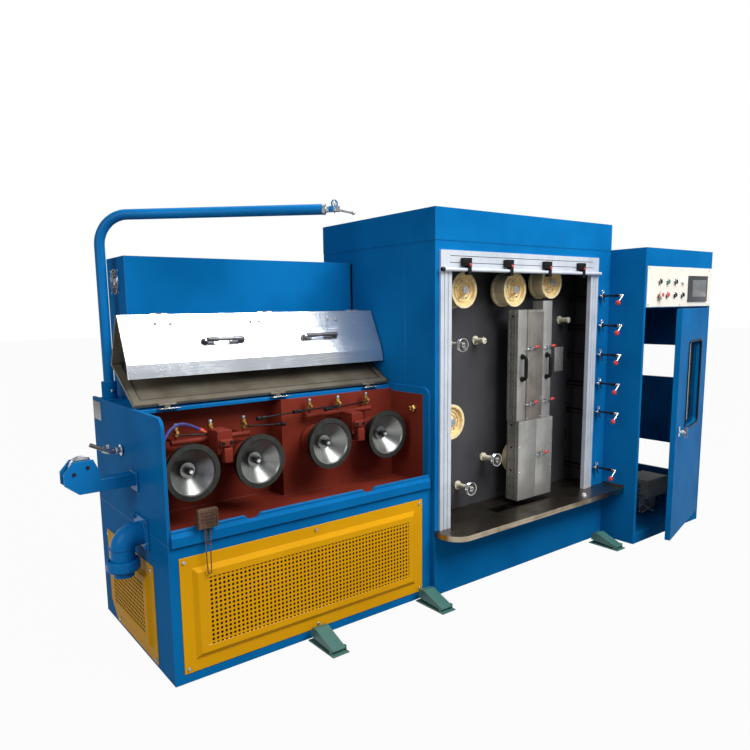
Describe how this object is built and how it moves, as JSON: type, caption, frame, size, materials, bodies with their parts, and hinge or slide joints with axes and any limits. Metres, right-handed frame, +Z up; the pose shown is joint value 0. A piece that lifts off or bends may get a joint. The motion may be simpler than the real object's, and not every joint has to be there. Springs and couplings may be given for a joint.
{
  "type": "wire drawing machine",
  "caption": "Multi-pass copper wire drawing machine: open-front capstan section with bi-fold lid, resistance annealer tower and take-off cabinet.",
  "frame": {"origin": "on the floor, in the middle of the tower's footprint", "axes": "+X along the wire's way from the inlet to the take-off cabinet, -Y towards the operator, +Z up"},
  "size_m": [4.122, 1.4729, 2.04],
  "materials": {
    "blue_paint": "semi-gloss machine enamel, dusty",
    "yellow_paint": "semi-gloss enamel on pressed sheet",
    "red_oxide_paint": "satin enamel, oily",
    "stainless": "brushed stainless sheet",
    "lid_lining": "matt lining with soap film",
    "capstan_steel": "turned and ground steel",
    "brass": "machined brass, dull",
    "aluminium_profile": "natural anodised extrusion",
    "rusty_steel": "oily browned steel",
    "dark_plate": "satin dark coating",
    "wheel_bronze": "turned bronze rim",
    "cream_hub": "moulded, satin",
    "grey_cover": "brushed sheet, oily",
    "zinc_hardware": "bright zinc plate",
    "crank_steel": "bright plated steel",
    "tray_steel": "brushed sheet, oily",
    "cream_panel": "satin enamel",
    "motor_grey": "grey enamel",
    "door_blue": "semi-gloss enamel",
    "black_grip": "moulded",
    "red_knob": "moulded, bright",
    "hose": "segmented coolant hose",
    "screen": "unlit screen",
    "pane": "clear acrylic",
    "pedal_green": "hammered enamel, worn",
    "pedal_base_green": "hammered enamel, worn"
  },
  "bodies": {
    "machine": {"drawing_base": "blue_paint", "side_plates": "blue_paint", "process_lining": "red_oxide_paint", "front_rail": "blue_paint", "top_deck": "blue_paint", "rear_box": "blue_paint", "front_panel": "yellow_paint", "side_panel": "yellow_paint", "bearing_housings": "red_oxide_paint", "die_holders": "red_oxide_paint", "coolant_pipes": "red_oxide_paint", "spray_valves": "brass", "arm_socket": "blue_paint", "inlet_arm": "blue_paint", "drain_elbow": "blue_paint", "ball_valve": "zinc_hardware", "pulling_clamp": "rusty_steel", "tower_housing": "blue_paint", "tower_hood": "blue_paint", "drip_tray": "tray_steel", "tower_portal": "blue_paint", "compartment_back": "dark_plate", "aluminium_frame": "aluminium_profile", "wiper_bar": "zinc_hardware", "bar_clamps": "black_grip", "compartment_posts": "cream_hub", "anneal_box": "grey_cover", "cover_clamps": "black_grip", "cabinet_shell": "blue_paint", "cabinet_head": "blue_paint", "cabinet_drive": "motor_grey", "control_panel": "cream_panel", "pedal_bases": "pedal_base_green"},
    "lid": {"lid_tray": "lid_lining"},
    "flap": {"lid_flap": "stainless"},
    "arm": {"payoff_arm": "blue_paint"},
    "inlet_wheel": {"inlet_roller": "zinc_hardware"},
    "door": {"cabinet_door": "door_blue", "door_pane": "pane"},
    "cone_1": {"cone_capstan_1": "capstan_steel"},
    "cone_2": {"cone_capstan_2": "capstan_steel"},
    "cone_3": {"cone_capstan_3": "capstan_steel"},
    "cone_4": {"cone_capstan_4": "capstan_steel"},
    "wheel_1": {"contact_wheel_1": "wheel_bronze"},
    "wheel_2": {"contact_wheel_2": "wheel_bronze"},
    "wheel_3": {"contact_wheel_3": "wheel_bronze"},
    "wheel_4": {"contact_wheel_4": "wheel_bronze"},
    "wheel_5": {"contact_wheel_5": "wheel_bronze"},
    "disc_1": {"guide_disc_1": "capstan_steel"},
    "treadle_1": {"foot_treadle_1": "pedal_green"},
    "disc_2": {"guide_disc_2": "capstan_steel"},
    "treadle_2": {"foot_treadle_2": "pedal_green"},
    "disc_3": {"guide_disc_3": "capstan_steel"},
    "treadle_3": {"foot_treadle_3": "pedal_green"},
    "spindle_1": {"crank_1": "crank_steel"},
    "spindle_2": {"crank_2": "crank_steel"},
    "spindle_3": {"crank_3": "crank_steel"},
    "spindle_4": {"crank_4": "crank_steel"},
    "spindle_5": {"crank_5": "crank_steel"},
    "spindle_6": {"crank_6": "crank_steel"}
  },
  "joints": [
    {"name": "lid_hinge", "type": "hinge", "parent": "machine", "child": "lid", "pos_m": [-1.495, -0.138, 1.138], "axis": [1, 0, 0], "range_deg": [0, 148.5]},
    {"name": "flap_hinge", "type": "hinge", "parent": "lid", "child": "flap", "pos_m": [-1.495, 0.03487, 1.53198], "axis": [1, 0, 0], "range_deg": [-128.5, 0]},
    {"name": "cone_1_spin", "type": "hinge", "parent": "machine", "child": "cone_1", "pos_m": [-2.03495, -0.333, 0.859], "axis": [0, 1, 0], "continuous": true},
    {"name": "cone_2_spin", "type": "hinge", "parent": "machine", "child": "cone_2", "pos_m": [-1.70694, -0.333, 0.859], "axis": [0, 1, 0], "continuous": true},
    {"name": "cone_3_spin", "type": "hinge", "parent": "machine", "child": "cone_3", "pos_m": [-1.31607, -0.333, 0.889], "axis": [0, 1, 0], "continuous": true},
    {"name": "cone_4_spin", "type": "hinge", "parent": "machine", "child": "cone_4", "pos_m": [-0.95294, -0.333, 0.889], "axis": [0, 1, 0], "continuous": true},
    {"name": "arm_swivel", "type": "hinge", "parent": "machine", "child": "arm", "pos_m": [-2.175, 0.307, 1.2], "axis": [0, 0, 1], "range_deg": [-60, 40]},
    {"name": "inlet_spin", "type": "hinge", "parent": "machine", "child": "inlet_wheel", "pos_m": [-2.437, -0.118, 0.903], "axis": [0, 1, 0], "continuous": true},
    {"name": "wheel_1_spin", "type": "hinge", "parent": "machine", "child": "wheel_1", "pos_m": [-0.47401, -0.374, 1.632], "axis": [0, 1, 0], "continuous": true},
    {"name": "wheel_2_spin", "type": "hinge", "parent": "machine", "child": "wheel_2", "pos_m": [-0.05606, -0.374, 1.636], "axis": [0, 1, 0], "continuous": true},
    {"name": "wheel_3_spin", "type": "hinge", "parent": "machine", "child": "wheel_3", "pos_m": [0.28105, -0.374, 1.681], "axis": [0, 1, 0], "continuous": true},
    {"name": "wheel_4_spin", "type": "hinge", "parent": "machine", "child": "wheel_4", "pos_m": [-0.56395, -0.374, 0.91896], "axis": [0, 1, 0], "continuous": true},
    {"name": "wheel_5_spin", "type": "hinge", "parent": "machine", "child": "wheel_5", "pos_m": [0.06607, -0.374, 0.61905], "axis": [0, 1, 0], "continuous": true},
    {"name": "disc_1_spin", "type": "hinge", "parent": "machine", "child": "disc_1", "pos_m": [-0.45307, -0.381, 1.33396], "axis": [0, 1, 0], "continuous": true},
    {"name": "disc_2_spin", "type": "hinge", "parent": "machine", "child": "disc_2", "pos_m": [-0.15893, -0.381, 0.64107], "axis": [0, 1, 0], "continuous": true},
    {"name": "disc_3_spin", "type": "hinge", "parent": "machine", "child": "disc_3", "pos_m": [-0.37499, -0.381, 0.50205], "axis": [0, 1, 0], "continuous": true},
    {"name": "crank_1_turn", "type": "hinge", "parent": "machine", "child": "spindle_1", "pos_m": [0.67, -0.594, 1.596], "axis": [0, 1, 0], "continuous": true},
    {"name": "crank_2_turn", "type": "hinge", "parent": "machine", "child": "spindle_2", "pos_m": [0.67, -0.594, 1.4114], "axis": [0, 1, 0], "continuous": true},
    {"name": "crank_3_turn", "type": "hinge", "parent": "machine", "child": "spindle_3", "pos_m": [0.67, -0.594, 1.2268], "axis": [0, 1, 0], "continuous": true},
    {"name": "crank_4_turn", "type": "hinge", "parent": "machine", "child": "spindle_4", "pos_m": [0.67, -0.594, 1.0422], "axis": [0, 1, 0], "continuous": true},
    {"name": "crank_5_turn", "type": "hinge", "parent": "machine", "child": "spindle_5", "pos_m": [0.67, -0.594, 0.8576], "axis": [0, 1, 0], "continuous": true},
    {"name": "crank_6_turn", "type": "hinge", "parent": "machine", "child": "spindle_6", "pos_m": [0.67, -0.594, 0.4884], "axis": [0, 1, 0], "continuous": true},
    {"name": "door_hinge", "type": "hinge", "parent": "machine", "child": "door", "pos_m": [1.58, -0.735, 0.8], "axis": [0, 0, 1], "range_deg": [-15.2, 100]},
    {"name": "treadle_1_press", "type": "hinge", "parent": "machine", "child": "treadle_1", "pos_m": [-1.52501, -0.655, 0.02], "axis": [-1, 0, 0], "range_deg": [0, 3], "stiffness_Nm_per_rad": 40, "springref_deg": -5.73},
    {"name": "treadle_2_press", "type": "hinge", "parent": "machine", "child": "treadle_2", "pos_m": [-0.84601, -0.655, 0.02], "axis": [-1, 0, 0], "range_deg": [0, 3], "stiffness_Nm_per_rad": 40, "springref_deg": -5.73},
    {"name": "treadle_3_press", "type": "hinge", "parent": "machine", "child": "treadle_3", "pos_m": [0.62293, -0.715, 0.02], "axis": [-1, 0, 0], "range_deg": [0, 3], "stiffness_Nm_per_rad": 40, "springref_deg": -5.73}
  ],
  "couplings": [
    {"joint": "flap_hinge", "follows": "lid_hinge", "ratio": -0.864},
    {"joint": "cone_2_spin", "follows": "cone_1_spin", "ratio": 1},
    {"joint": "cone_3_spin", "follows": "cone_1_spin", "ratio": 1},
    {"joint": "cone_4_spin", "follows": "cone_1_spin", "ratio": 1}
  ]
}
